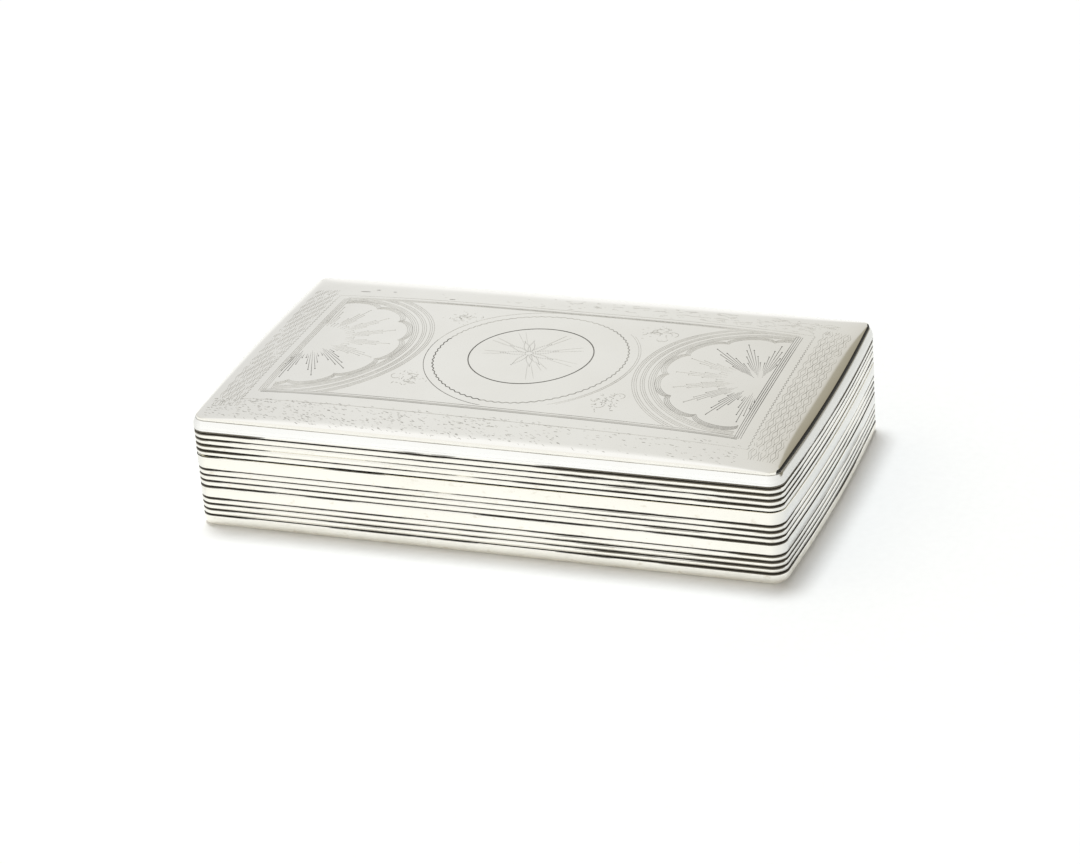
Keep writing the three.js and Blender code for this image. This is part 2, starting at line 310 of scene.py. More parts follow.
# Where the amount of dirt changes: round the corners (with how much it gains), on the two ends,
# on the right half and up in the lid's grooves
CORNERS = (0.030, 0.0415, 0.45)
ENDS = (0.0422, 0.0429)
RIGHT_HALF = (0.002, 0.034)
LID_GROOVES = (0.0130, 0.0144)


def tarnish_and_dark_reflection(name, threshold, deep, corner=CORNERS, end_drop=0.3, right=0.0, high=0.0, one_end=False):
    """Silver in a groove: dark where dirt stayed, bright where it is rubbed clean; also the painted dark
    reflection along the seam.

    Dirt stays round the corners, comes and goes along the long sides and is thin on the two ends.
    right adds dirt towards the right, high adds it to the upper grooves of the lid. With one_end
    only the right end gains what corner says, which lays the painted dark reflection along the seam.
    """
    material, tree, shader = new_material(name)
    x, _, z = axes(tree, "Object")
    away = math_node(tree, "ABSOLUTE", x)
    corner_start, corner_end, corner_gain = corner
    level = spread(tree, noise(tree, *DIRT_NOISE), *NOISE_SPAN, *DIRT_SPAN)
    for share in (
        spread(tree, x if one_end else away, corner_start, corner_end, 0.0, corner_gain),
        spread(tree, away, *ENDS, 0.0, -end_drop),
        spread(tree, x, *RIGHT_HALF, 0.0, right),
        spread(tree, z, *LID_GROOVES, 0.0, high),
    ):
        level = math_node(tree, "ADD", level, share)
    dirt = spread(tree, level, threshold, threshold + DIRT_FADE, 0.0, 1.0)
    half = tuple(HALF_SHARE * tone + HALF_LIGHT for tone in deep)
    colour = ramp(tree, dirt, [(0.0, CLEAN), (HALF_DIRTY, half), (1.0, deep)])
    link(tree, colour, shader.inputs["Base Color"])
    link(tree, spread(tree, dirt, 0.0, 1.0, *DIRT_METALLIC), shader.inputs["Metallic"])
    link(tree, spread(tree, dirt, 0.0, 1.0, *DIRT_ROUGHNESS), shader.inputs["Roughness"])
    return material


# Its ends tone is a painted darker reflection on the two ends of the box
BAND_SILVER = silver(
    "band_silver", (0.985, 0.965, 0.895), (0.965, 0.94, 0.865), (0.07, 0.14), 0.04,
    spots=(0.84, 0.79, 0.69), ends=(0.75, 0.75, 0.725),
)
BASE_SILVER = silver(
    "base_silver", (0.985, 0.97, 0.91), (0.955, 0.935, 0.87), (0.42, 0.55), 0.1, spots=(0.84, 0.80, 0.71)
)
# Its ends tone is a painted darker reflection on the two ends of the box
EDGE_SILVER = silver(
    "edge_silver", (0.985, 0.985, 0.97), (0.975, 0.97, 0.95), (0.06, 0.1), 0.02, ends=(0.68, 0.68, 0.66)
)
# Painted shade: darker grey silver in the nick along the seam and at the bottom of the fine line below the
# rim's edge
NICK_SHADE_SILVER = silver("nick_shade_silver", (0.80, 0.795, 0.78), (0.66, 0.65, 0.63), (0.12, 0.2))
LID_SILVER = silver("lid_silver", (0.97, 0.96, 0.93), (0.95, 0.938, 0.905), (0.07, 0.12), 0.03)
INNER_SILVER = silver("inner_silver", (0.90, 0.88, 0.82), (0.82, 0.79, 0.72), (0.24, 0.4))
BEZEL_SILVER = silver("bezel_silver", (0.93, 0.91, 0.85), (0.88, 0.85, 0.78), (0.2, 0.32))
HINGE_SILVER = silver("hinge_silver", (0.90, 0.88, 0.83), (0.82, 0.80, 0.74), (0.2, 0.36))
PIN_METAL = silver("pin_metal", (0.72, 0.70, 0.66), (0.62, 0.60, 0.56), (0.3, 0.42))
GROOVE_CORE = tarnish_and_dark_reflection("groove_core", 0.27, (0.034, 0.030, 0.022), end_drop=0.34, right=0.10, high=0.2)
GROOVE_FLANK = tarnish_and_dark_reflection("groove_flank", 0.50, (0.075, 0.066, 0.050), end_drop=0.5, right=0.12, high=0.28)
GROOVE_EDGE = tarnish_and_dark_reflection("groove_edge", 0.68, (0.17, 0.152, 0.118), end_drop=0.55, right=0.14, high=0.24)
GROOVE_STAIN = tarnish_and_dark_reflection(
    "groove_stain", 0.66, (0.34, 0.305, 0.24), (0.030, 0.0415, 0.04), end_drop=0.6, right=0.2, high=0.1
)
JOINT_DIRT = tarnish_and_dark_reflection("joint_dirt", 0.58, (0.05, 0.044, 0.033), (0.038, 0.0415, 0.2), right=-0.15)
# Painted dark reflection: near black along the lid sheet's edge at the seam, on the right end only
SEAM_DARK_REFLECTION = tarnish_and_dark_reflection(
    "seam_dark_reflection", 0.9, (0.010, 0.009, 0.007), (0.0416, 0.0422, 1.6), end_drop=0.0, one_end=True
)
LINE_DARK = silver("line_dark", (0.24, 0.23, 0.215), (0.16, 0.155, 0.145), (0.3, 0.45))
LINE_MID = silver("line_mid", (0.56, 0.55, 0.52), (0.46, 0.45, 0.43), (0.3, 0.45))
LINE_FINE = silver("line_fine", (0.74, 0.73, 0.70), (0.66, 0.65, 0.62), (0.3, 0.45))


# Meshes


def add_object(name, points, faces, materials, picks=None, sharp=SHARP_ANGLE):
    """A smooth mesh from points in millimetres. picks has the material number of each face."""
    mesh = bpy.data.meshes.new(name)
    mesh.from_pydata([(x * MM, y * MM, z * MM) for x, y, z in points], [], faces)
    for material in materials:
        mesh.materials.append(material)
    if picks:
        mesh.polygons.foreach_set("material_index", picks)
    obj = bpy.data.objects.new(name, mesh)
    bpy.context.scene.collection.objects.link(obj)
    smooth(obj, sharp)
    return obj


def smooth(obj, sharp=SHARP_ANGLE):
    mesh = obj.data
    mesh.polygons.foreach_set("use_smooth", [True] * len(mesh.polygons))
    mesh.set_sharp_from_angle(angle=math.radians(sharp))
    mesh.update()


def boolean(obj, cutter, operation="DIFFERENCE"):
    """Cuts obj with cutter for good, and removes the cutter."""
    modifier = obj.modifiers.new("cut", "BOOLEAN")
    modifier.operation = operation
    modifier.solver = "EXACT"
    modifier.object = cutter
    bpy.context.view_layer.update()
    graph = bpy.context.evaluated_depsgraph_get()
    mesh = bpy.data.meshes.new_from_object(obj.evaluated_get(graph))
    obj.modifiers.clear()
    obj.data = mesh
    mesh.name = obj.name
    bpy.data.objects.remove(cutter)
    smooth(obj)


def make_stations():
    """Points along the outline with their outward normals, counter-clockwise from above."""
    stations = []

    def arc(cx, cy, radius, start, end, steps):
        for i in range(steps):
            angle = start + (end - start) * i / steps
            nx, ny = math.cos(angle), math.sin(angle)
            stations.append((cx + radius * nx, cy + radius * ny, nx, ny))

    def side(start_x, end_x, y):
        for i in range(SIDE_STEPS):
            x = start_x + (end_x - start_x) * i / SIDE_STEPS
            stations.append((x, y, 0.0, math.copysign(1.0, y)))

    quarter = math.pi / 2
    arc(END_CENTRE_X, 0, END_WALL_RADIUS, -END_ANGLE, END_ANGLE, END_STEPS)
    arc(CORNER_X, CORNER_Y, CORNER_RADIUS, END_ANGLE, quarter, CORNER_STEPS)
    side(CORNER_X, -CORNER_X, WIDTH / 2)
    arc(-CORNER_X, CORNER_Y, CORNER_RADIUS, quarter, math.pi - END_ANGLE, CORNER_STEPS)
    arc(-END_CENTRE_X, 0, END_WALL_RADIUS, math.pi - END_ANGLE, math.pi + END_ANGLE, END_STEPS)
    arc(-CORNER_X, -CORNER_Y, CORNER_RADIUS, math.pi + END_ANGLE, 3 * quarter, CORNER_STEPS)
    side(-CORNER_X, CORNER_X, -WIDTH / 2)
    arc(CORNER_X, -CORNER_Y, CORNER_RADIUS, 3 * quarter, 2 * math.pi - END_ANGLE, CORNER_STEPS)
    return stations


STATIONS = make_stations()


def ring(offset, z):
    """The outline at height z, moved out by offset."""
    return [(x + nx * offset, y + ny * offset, z) for x, y, nx, ny in STATIONS]


def loft(name, rings, tags, materials, middles=None):
    """A closed skin over rings. tags has the material of the strip after each ring.

    With the heights of its two middles a fan closes each end. Without, the last ring joins the first.
    """
    count = len(STATIONS)
    points = [p for r in rings for p in r]
    faces, picks = [], []
    joins = len(rings) - 1 if middles else len(rings)
    for k in range(joins):
        low = k * count
        high = ((k + 1) % len(rings)) * count
        for i in range(count):
            j = (i + 1) % count
            faces.append((low + i, low + j, high + j, high + i))
            picks.append(tags[k])
    if middles:
        last = (len(rings) - 1) * count
        first = len(points)
        points += [(0.0, 0.0, z) for z in middles]
        for i in range(count):
            j = (i + 1) % count
            faces += [(first, j, i), (first + 1, last + i, last + j)]
            picks += [tags[0], tags[-1]]
    return add_object(name, points, faces, materials, picks)


def sweep(name, section, materials, middles=None):
    """A section of points (offset, height, material), led round the outline."""
    rings = [ring(offset, z) for offset, z, tag in section]
    return loft(name, rings, [tag for offset, z, tag in section], materials, middles)


# Material numbers of the reeded walls
PLAIN, CORE, FLANK, EDGE, STAIN, JOINT, INSIDE, WHITE, NICK, SATIN = range(10)
WALL_MATERIALS = [
    BAND_SILVER, GROOVE_CORE, GROOVE_FLANK, GROOVE_EDGE, GROOVE_STAIN,
    JOINT_DIRT, INNER_SILVER, EDGE_SILVER, NICK_SHADE_SILVER, BASE_SILVER,
]
# How many degrees up a reed each share of the dirt reaches
DIRT_ANGLES = [(CORE, 30), (FLANK, 45), (EDGE, 57), (STAIN, 68)]
# Rounded edge of a plain band beside a groove: shares of the groove's depth and of its flare
FLARE_SECTION = [(0.0, 1.5), (0.12, 0.95), (0.4, 0.5)]


def groove_tag(angle):
    """The material of a strip on a reed: angle runs from one groove, 0, to the next, half a turn."""
    near = math.degrees(min(angle, math.pi - angle))
    for tag, limit in DIRT_ANGLES:
        if near < limit:
            return tag
    return PLAIN


def reed_group(lowest):
    """Section of a group of half-round reeds and the grooves between them."""
    section = []
    for reed in range(REEDS_PER_GROUP):
        for step in range(REED_STEPS):
            angle = math.pi * step / REED_STEPS
            rise = REED_PITCH * (1 - math.cos(angle)) / 2
            offset = GROOVE_DEPTH * (math.sin(angle) - 1)
            tag = groove_tag(angle + math.pi / REED_STEPS / 2)
            section.append((offset, lowest + reed * REED_PITCH + rise, tag))
    section.append((-GROOVE_DEPTH, lowest + GROUP_HEIGHT, CORE))
    return section


def flare_down(z):
    """Section from a plain band down into the groove at z."""
    return [
        (-GROOVE_DEPTH * depth, z - GROOVE_FLARE * away, tag)
        for (depth, away), tag in zip(FLARE_SECTION, (EDGE, FLANK, CORE))
    ]


def flare_up(z, last=PLAIN):
    """Section from the groove at z up into a plain band."""
    return [
        (-GROOVE_DEPTH * depth, z + GROOVE_FLARE * away, tag)
        for (depth, away), tag in zip(reversed(FLARE_SECTION), (FLANK, EDGE, last))
    ]


def rim_edge():
    """The lid rim's rounded edge: an arc that starts upright and draws in up to the seam."""
    lean = 2 * math.atan(SEAM_DEPTH / SEAM_HEIGHT)
    radius = SEAM_HEIGHT / math.sin(lean)
    points = []
    for i in range(EDGE_STEPS + 1):
        angle = lean * i / EDGE_STEPS
        points.append((radius * (math.cos(angle) - 1), LID_RIM_TOP + radius * math.sin(angle)))
    return points


def barrel_points(profile):
    """Rings of points round the hinge axis, one for each (x, radius) of a profile."""
    points = []
    for x, radius in profile:
        for i in range(BARREL_STEPS):
            angle = 2 * math.pi * i / BARREL_STEPS
            points.append((x, HINGE_Y + radius * math.cos(angle), JOINT_Z + radius * math.sin(angle)))
    return points


def barrel_strip(near, far):
    """The faces between two of those rings, given by their first points."""
    faces = []
    for i in range(BARREL_STEPS):
        j = (i + 1) % BARREL_STEPS
        faces.append((near + i, near + j, far + j, far + i))
    return faces


def axis_bar(name, radius, start, end, material=BAND_SILVER):
    """A round bar on the hinge axis."""
    points = barrel_points([(start, radius), (end, radius)])
    faces = barrel_strip(0, BARREL_STEPS)
    faces.append(tuple(reversed(range(BARREL_STEPS))))
    faces.append(tuple(range(BARREL_STEPS, 2 * BARREL_STEPS)))
    return add_object(name, points, faces, [material])


def block(name, low, high):
    """A box between two corners, for cutting."""
    points = [(x, y, z) for x in (low[0], high[0]) for y in (low[1], high[1]) for z in (low[2], high[2])]
    faces = [(0, 1, 3, 2), (4, 6, 7, 5), (0, 4, 5, 1), (2, 3, 7, 6), (0, 2, 6, 4), (1, 5, 7, 3)]
    return add_object(name, points, faces, [BAND_SILVER])


def notch(wall):
    """Room for the hinge at the back of a wall: a round channel and the slot behind it."""
    boolean(wall, axis_bar("channel_cut", CHANNEL_RADIUS, -CHANNEL_HALF, CHANNEL_HALF))
    slot_low = (-CHANNEL_HALF, HINGE_Y, JOINT_Z - SLOT_HALF)
    slot_high = (CHANNEL_HALF, HINGE_Y + 2 * KNUCKLE_RADIUS, JOINT_Z + SLOT_HALF)
    boolean(wall, block("slot_cut", slot_low, slot_high))


def place(obj, body, slot, *nodes):
    """Ties a piece to its body, in the place of nodes of the frame. slot is not used."""
    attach(obj, body)
    if nodes:
        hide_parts(*nodes)


def build_pan():
    section = []
    for i in range(EDGE_STEPS + 1):
        angle = math.pi / 2 * i / EDGE_STEPS
        offset = BASE_EDGE_RADIUS * (math.sin(angle) - 1)
        section.append((offset, BASE_EDGE_RADIUS * (1 - math.cos(angle)), SATIN))
    section += flare_down(BASE_RIM)
    section += [
        (-GROOVE_DEPTH, BASE_RIM, INSIDE),
        (-WALL, BASE_RIM, INSIDE),
        (-WALL, SHEET + PAN_FILLET, INSIDE),
        (-WALL - PAN_FILLET_MIDDLE, SHEET + PAN_FILLET_MIDDLE, INSIDE),
        (-WALL - PAN_FILLET, SHEET, INSIDE),
        (-WALL - PAN_FILLET - PAN_FLAT, SHEET, INSIDE),
    ]
    pan = sweep("pan_shell", section, WALL_MATERIALS, (0.0, SHEET))
    place(pan, "body", "polished_silver", "base_pan")


def build_wall():
    section = [
        *reed_group(BASE_RIM),
        *flare_up(BASE_RIM + GROUP_HEIGHT),
        *flare_down(UPPER_GROUP),
        *reed_group(UPPER_GROUP),
        *flare_up(UPPER_GROUP + GROUP_HEIGHT),
        (0.0, BODY_TOP - JOINT_EDGE, JOINT),
        (-JOINT_EDGE_MIDDLE, BODY_TOP - JOINT_EDGE_MIDDLE, JOINT),
        (-JOINT_EDGE, BODY_TOP, PLAIN),
        (-WALL, BODY_TOP, INSIDE),
        (-WALL, BASE_RIM, INSIDE),
    ]
    wall = sweep("wall_reeded", section, WALL_MATERIALS)
    notch(wall)
    place(wall, "body", "polished_silver", "body_wall")


def build_rim():
    lowest = LID_BOTTOM + LID_EDGE_BAND
    line_start, bottom_start, bottom_end = (LID_RIM_TOP - below for below in RIM_LINE)
    nick_start, nick_deepest = (LID_SEAM - below for below in SEAM_NICK)
    # The NICK strips carry painted shade: the bottom of the fine line and the nick along the seam
    section = [
        (-JOINT_EDGE, LID_BOTTOM, JOINT),
        (-JOINT_EDGE_MIDDLE, LID_BOTTOM + JOINT_EDGE_MIDDLE, JOINT),
        (0.0, LID_BOTTOM + JOINT_EDGE, PLAIN),
        *flare_down(lowest),
        *reed_group(lowest),
        *flare_up(lowest + GROUP_HEIGHT, EDGE),
        (0.0, lowest + GROUP_HEIGHT + TOP_GROOVE_DIRT, WHITE),
        (0.0, line_start, WHITE),
        (-RIM_LINE_DEPTH, bottom_start, NICK),
        (-RIM_LINE_DEPTH, bottom_end, WHITE),
        *[(offset, z, WHITE) for offset, z in rim_edge()[:-1]],
        (-SEAM_DEPTH + SEAM_NICK_START, nick_start, NICK),
        (-SEAM_DEPTH - SEAM_NICK_DEPTH, nick_deepest, NICK),
        (-SEAM_DEPTH - SEAM_NICK_DEPTH, LID_SEAM, INSIDE),
        (-WALL, LID_SEAM, INSIDE),
        (-WALL, LID_BOTTOM, PLAIN),
    ]
    rim = sweep("rim_reeded", section, WALL_MATERIALS)
    notch(rim)
    place(rim, "lid", "polished_silver", "lid_rim")


def lid_height(x, y):
    """Height of the lid's outside: it falls off to all four sides and most to the corners."""
    bowed = END_CENTRE_X + math.sqrt((END_WALL_RADIUS + PILLOW_EDGE) ** 2 - y * y)
    across = max(0.0, 1 - (abs(x) / bowed) ** PILLOW_POWER)
    deep = max(0.0, 1 - (abs(y) / PILLOW_HALF_Y) ** PILLOW_POWER)
    return PILLOW_FOOT + PILLOW_RISE * math.sqrt(across * deep)


# Material numbers of the lid sheet
OUTSIDE, HOLLOW, SEAM = range(3)


def build_dome():
    edge = ring(PILLOW_EDGE, LID_SEAM)
    seat = ring(SEAT_CORNER - CORNER_RADIUS, LID_SEAM)

    def domed(outline, scale, drop):
        level = [(x * scale, y * scale) for x, y, z in outline]
        return [(x, y, max(LID_SEAM, lid_height(x, y) - drop)) for x, y in level]

    # Level steps in height, so that the rings lie close together where the edge is steep
    scales = [(1 - (i / PILLOW_RINGS) ** 2) ** (1 / PILLOW_POWER) for i in range(PILLOW_RINGS)]
    scales += [scales[-1] * share for share in PILLOW_CROWN]
    rings = [domed(seat, scale, SHEET) for scale in HOLLOW_SCALES]
    tags = [HOLLOW] * len(rings)
    rings += [seat, edge]
    # The SEAM strips carry the painted dark reflection along the right end
    tags += [HOLLOW, SEAM]
    rings += [domed(edge, scale, 0.0) for scale in scales]
    tags += [SEAM if i < SEAM_RINGS else OUTSIDE for i in range(len(scales))]
    top = PILLOW_FOOT + PILLOW_RISE
    materials = [LID_SILVER, INNER_SILVER, SEAM_DARK_REFLECTION]
    dome = loft("lid_dome", rings, tags, materials, (top - SHEET, top))
    place(dome, "lid", "engraved_lid", "lid_top")


def build_bezel():
    outer = -WALL - BEZEL_CLEARANCE
    inner = outer - BEZEL_SHEET
    low, high = bezel_low.z, bezel_high.z
    section = [
        (outer, low, 0),
        (outer, high - BEZEL_EDGE, 0),
        (outer - BEZEL_EDGE_MIDDLE, high - BEZEL_EDGE_MIDDLE, 0),
        (outer - BEZEL_EDGE, high, 0),
        (inner + BEZEL_INNER_STEP[0], high - BEZEL_INNER_STEP[1], 0),
        (inner, high - BEZEL_INNER_EDGE, 0),
        (inner, low, 0),
    ]
    collar = sweep("bezel_collar", section, [BEZEL_SILVER])
    behind_low = (-LENGTH, bezel_high.y, low - CUT_MARGIN)
    behind_high = (LENGTH, WIDTH, high + CUT_MARGIN)
    boolean(collar, block("bezel_cut", behind_low, behind_high))
    place(collar, "body", "bezel_silver", "body_bezel")


def build_knuckle(node, body):
    """A turned tube with broken edges, in the place of a knuckle of the frame."""
    low, high = box_mm(node)
    bore = PIN_RADIUS + PIN_RUN
    profile = [
        (low.x, bore),
        (low.x, KNUCKLE_RADIUS - KNUCKLE_EDGE),
        (low.x + KNUCKLE_EDGE_MIDDLE, KNUCKLE_RADIUS - KNUCKLE_EDGE_MIDDLE),
        (low.x + KNUCKLE_EDGE, KNUCKLE_RADIUS),
        (high.x - KNUCKLE_EDGE, KNUCKLE_RADIUS),
        (high.x - KNUCKLE_EDGE_MIDDLE, KNUCKLE_RADIUS - KNUCKLE_EDGE_MIDDLE),
        (high.x, KNUCKLE_RADIUS - KNUCKLE_EDGE),
        (high.x, bore),
    ]
    faces = []
    for k in range(len(profile)):
        faces += barrel_strip(k * BARREL_STEPS, ((k + 1) % len(profile)) * BARREL_STEPS)
    tube = add_object("tube_" + node, barrel_points(profile), faces, [HINGE_SILVER])
    place(tube, body, "hinge_silver", node)


def build_plug(node):
    """The stub of barrel beside the end knuckle, filed flush with the corner."""
    low, high = box_mm(node)
    stub = axis_bar("stub_" + node, KNUCKLE_RADIUS, low.x, high.x, HINGE_SILVER)
    section = [(0.0, 0.0, 0), (0.0, LID_SEAM, 0)]
    boolean(stub, sweep("outline_cut", section, [BAND_SILVER], (0.0, LID_SEAM)), "INTERSECT")
    place(stub, "body", "hinge_silver", node)


# Engraving: every line is a thin closed wedge let into the lid sheet

cuts = {"dark": [], "mid": [], "fine": []}

# How a line thins out: at both ends, from its start on, or not at all
BOTH, START, EVEN = range(3)
# Share of the width at the thin end, and how fast the line widens from there
BOTH_TAPER = (0.45, 4.0)
START_TAPER = (0.15, 1.6)

LINE_WIDTH = 0.09
BOLD_WIDTH = 0.13
HAIR_WIDTH = 0.06

# Spacing of the points along a line
LINE_STEP = 0.5
ARC_STEP = 0.4
SHORT_STEP = 0.2

# Wear: its fineness along and across the lid, and the layer of the noise that is used
WEAR_GRAIN = (0.8, 1.9)
WEAR_LAYER = 3.7


def cut(tone, points, width, closed=False, taper=BOTH):
    cuts[tone].append((points, width, closed, taper))


def straight(start, end, step=LINE_STEP):
    count = max(2, int(math.dist(start, end) / step) + 1)
    return [
        (start[0] + (end[0] - start[0]) * i / (count - 1), start[1] + (end[1] - start[1]) * i / (count - 1))
        for i in range(count)
    ]


def polar(centre, radius, degrees):
    angle = math.radians(degrees)
    return centre[0] + radius * math.cos(angle), centre[1] + radius * math.sin(angle)


def arc_line(centre, radius, start, end, step=ARC_STEP):
    count = max(3, int(abs(math.radians(end - start)) * radius / step) + 1)
    return [polar(centre, radius, start + (end - start) * i / (count - 1)) for i in range(count)]


def circle(centre, radius, step=ARC_STEP):
    return arc_line(centre, radius, 0, 360, step)[:-1]


def dashes(tone, points, width, dash, gap):
    """A dotted line along evenly spaced points. dash and gap count the steps between them."""
    period = dash + gap
    for i in range(0, len(points) - dash, period):
        cut(tone, points[i : i + dash + 1], width, taper=EVEN)


def worn(tone, points, width, keep):
    """The runs of a line that wear has left. keep gives the level of wear at a point."""
    run = []
    for point in [*points, None]:
        if point:
            spot = Vector((point[0] * WEAR_GRAIN[0], point[1] * WEAR_GRAIN[1], WEAR_LAYER))
            if noise_field.noise(spot) < keep(point):
                run.append(point)
                continue
        if len(run) > 1:
            cut(tone, run, width)
        run = []


# Cut by hand, the pattern drifts to the front and a little to the right away from the middle of the lid
# DRIFT has the share of the place along the box, of the place across it and of both together
DRIFT_SPAN = (34.0, 15.0)
DRIFT = (0.54, 0.43, -0.38)
DRIFT_RIGHT = 0.39
DRIFT_FRONT = 0.27


def laid(x, y):
    """Where a point of the drawn pattern lies on the lid."""
    across = (x / DRIFT_SPAN[0]) ** 2
    deep = (y / DRIFT_SPAN[1]) ** 2
    drift = DRIFT[0] * across + DRIFT[1] * deep + DRIFT[2] * across * deep
    return x + DRIFT_RIGHT * drift, y - drift - DRIFT_FRONT * deep


# Corners of the inner and the outer frame: front left, front right, back right, back left
FRAME = [(-35.05, -15.4), (34.4, -16.2), (34.1, 15.3), (-34.5, 15.6)]
OUTER_FRAME = [(-36.9, -17.6), (36.5, -18.4), (36.0, 16.4), (-36.2, 16.7)]
FRAME_MARGIN = 0.1
SHORT_LINES = (-0.45, -0.15, 0.15, 0.45)
FRONT_BAND = 0.46
FRONT_LINE = 0.5
BACK_LINES = (-0.3, 0.3)
BACK_WIDTH = 0.169
BACK_CLEAR = (-20.5, 24.0)  # where wear has left the back line
ZIGZAG_STEP = 0.42
ZIGZAG_SWING = 0.13


def side_at(low, high, x):
    """The Y of a frame's long side at x."""
    return low[1] + (high[1] - low[1]) * (x - low[0]) / (high[0] - low[0])


def inside_frame(point):
    front_left, front_right, back_right, back_left = FRAME
    front = side_at(front_left, front_right, point[0]) + FRONT_LINE + FRAME_MARGIN
    back = side_at(back_left, back_right, point[0]) - BACK_LINES[-1] - FRAME_MARGIN
    left, right = back_left[0] + SHORT_LINES[-1], back_right[0] - SHORT_LINES[-1]
    return left < point[0] < right and front < point[1] < back


def engrave_frame():
    front_left, front_right, back_right, back_left = FRAME
    for shift in SHORT_LINES:
        for start, end, tone in ((back_right, front_right, "dark"), (back_left, front_left, "fine")):
            cut(tone, straight((start[0] + shift, start[1]), (end[0] + shift, end[1])), LINE_WIDTH)
    cut("fine", straight(front_left, front_right), FRONT_BAND, taper=EVEN)
    front = [(x, y + FRONT_LINE) for x, y in (front_left, front_right)]
    cut("mid", straight(*front), LINE_WIDTH)
    clear = [(x, side_at(back_left, back_right, x)) for x in BACK_CLEAR]
    cut("mid", straight(*clear), BACK_WIDTH)
    cut("fine", straight(back_left, back_right), BOLD_WIDTH)
    for shift in BACK_LINES:
        back = [(x, y + shift) for x, y in (back_left, back_right)]
        cut("fine", straight(*back), LINE_WIDTH)


def engrave_outer_frame():
    front_left, front_right, back_right, back_left = OUTER_FRAME
    for start, end, tone in ((back_right, front_right, "mid"), (back_left, front_left, "fine")):
        line = straight(start, end, ZIGZAG_STEP)
        zigzag = [(x + (ZIGZAG_SWING if i % 2 else -ZIGZAG_SWING), y) for i, (x, y) in enumerate(line)]
        cut(tone, zigzag, LINE_WIDTH)
    cut("fine", straight(front_left, front_right), LINE_WIDTH)
    cut("fine", straight(back_left, back_right), LINE_WIDTH)


# Half-round fans at the two ends: their centre, the way they face and the turn of their scallops. Then,
# from an angle on, the tone of the rays, arcs and scallops, and how far out the rays start.
FANS = [
    {
        "centre": (32.75, -0.45),
        "facing": 181.0,
        "turn": 4.2,
        "rays": [(0, "dark"), (150, "fine"), (205, "mid"), (230, "dark")],
        "starts": [(0, 1.4), (140, 4.6), (200, 3.4)],
        "arcs": [(0, "fine")],
        "scallop": [(0, "fine"), (205, "mid")],
    },
    {
        "centre": (-33.8, 0.45),
        "facing": -1.0,
        "turn": 6.5,
        "rays": [(-180, "dark"), (-35, "fine")],
        "starts": [(-180, 3.6), (-12, 4.8)],
        "arcs": [(-180, "fine")],
        "scallop": [(-180, "fine")],
    },
]
FAN_HALF = 96.0
FAN_STEPS = 240
ARC_RADII = [17.4, 17.1, 16.8, 16.25, 15.95, 15.7, 15.1, 14.8, 14.5, 14.25]
SCALLOP_RADIUS = 12.75
SCALLOP_BULGE = 1.15
SCALLOP_STEP = 29.6
SCALLOP_LINES = (-0.36, -0.12, 0.12, 0.36)
RAYS = 9
RAY_STEP = 22.6
RAY_WIDTH = 0.07
RAY_SHORTEST = 1.2
RAY_STAGGER = 0.25
# Lines of a ray: turn from its middle in degrees, and length
RAY_LINES = [(0.0, 11.75), (2.9, 9.9), (-2.9, 9.9), (5.7, 7.9), (-5.7, 7.9), (8.4, 5.9), (-8.4, 5.9)]
DOT_RADIUS = 0.06
DOT_STEP = 0.07
DOT_WIDTH = 0.11


def at_angle(stretches, degrees):
    """The value of the last stretch that starts before an angle."""
    return [value for start, value in stretches if degrees >= start][-1]


def fan_line(tones, points):
    """A line of a fan: only what lies inside the frame, in the tone of its angle."""
    run, run_tone = [], None
    for degrees, point in [*points, (None, None)]:
        tone = at_angle(tones, degrees) if point and inside_frame(point) else None
        if tone != run_tone:
            if run_tone and len(run) > 1:
                cut(run_tone, run, LINE_WIDTH, taper=EVEN)
            run = run[-1:] if tone and run_tone else []
            run_tone = tone
        if tone:
            run.append(point)


def scallop_radius(degrees):
    """How far out the scalloped edge lies, at an angle from the start of a scallop."""
    share = (degrees / SCALLOP_STEP) % 1.0
    return SCALLOP_RADIUS + SCALLOP_BULGE * math.sqrt(max(0.0, 1 - (2 * share - 1) ** 2))


def engrave_ray(fan, middle):
    """Lines side by side, each with a dot at its tip."""
    centre, tone = fan["centre"], at_angle(fan["rays"], middle)
    for turn, length in RAY_LINES:
        inner = min(length - RAY_SHORTEST, at_angle(fan["starts"], middle) + abs(turn) * RAY_STAGGER)
        start, tip = polar(centre, inner, middle + turn), polar(centre, length, middle + turn)
        cut(tone, straight(start, tip), RAY_WIDTH, taper=START)
        cut(tone, circle(tip, DOT_RADIUS, DOT_STEP), DOT_WIDTH, True, EVEN)


def engrave_fan(fan):
    centre, facing = fan["centre"], fan["facing"]
    angles = [facing - FAN_HALF + 2 * FAN_HALF * i / FAN_STEPS for i in range(FAN_STEPS + 1)]
    for radius in ARC_RADII:
        fan_line(fan["arcs"], [(angle, polar(centre, radius, angle)) for angle in angles])
    for shift in SCALLOP_LINES:
        radii = [scallop_radius(angle - facing - fan["turn"]) + shift for angle in angles]
        edge = [(angle, polar(centre, radius, angle)) for angle, radius in zip(angles, radii)]
        fan_line(fan["scallop"], edge)
    for ray in range(RAYS):
        engrave_ray(fan, facing + RAY_STEP * (ray - (RAYS - 1) / 2))


# Rings of the rosette: centre and radius
INNER_CIRCLE = ((-0.62, 0.2), 8.83)
INNER_WIDTH = 0.17
WAVY_CIRCLE = ((-0.55, -0.12), 13.75)
WAVY_WIDTH = 0.15
WAVES = 78
WAVE_DEPTH = 0.1
WAVY_STEPS = 1.6  # to a degree
WAVY_TONES = [(-100, 50, "mid"), (50, 165, "fine"), (165, 260, "dark")]
THIN_CIRCLE = ((-0.55, 0.0), 15.1)
# Arcs left of the thin circle: how much further out, from where to where, and tone
THIN_ARCS = [(0.0, 170, 262, "dark"), (0.0, 95, 170, "fine"), (0.0, -62, 40, "fine"), (0.3, -58, 36, "fine")]
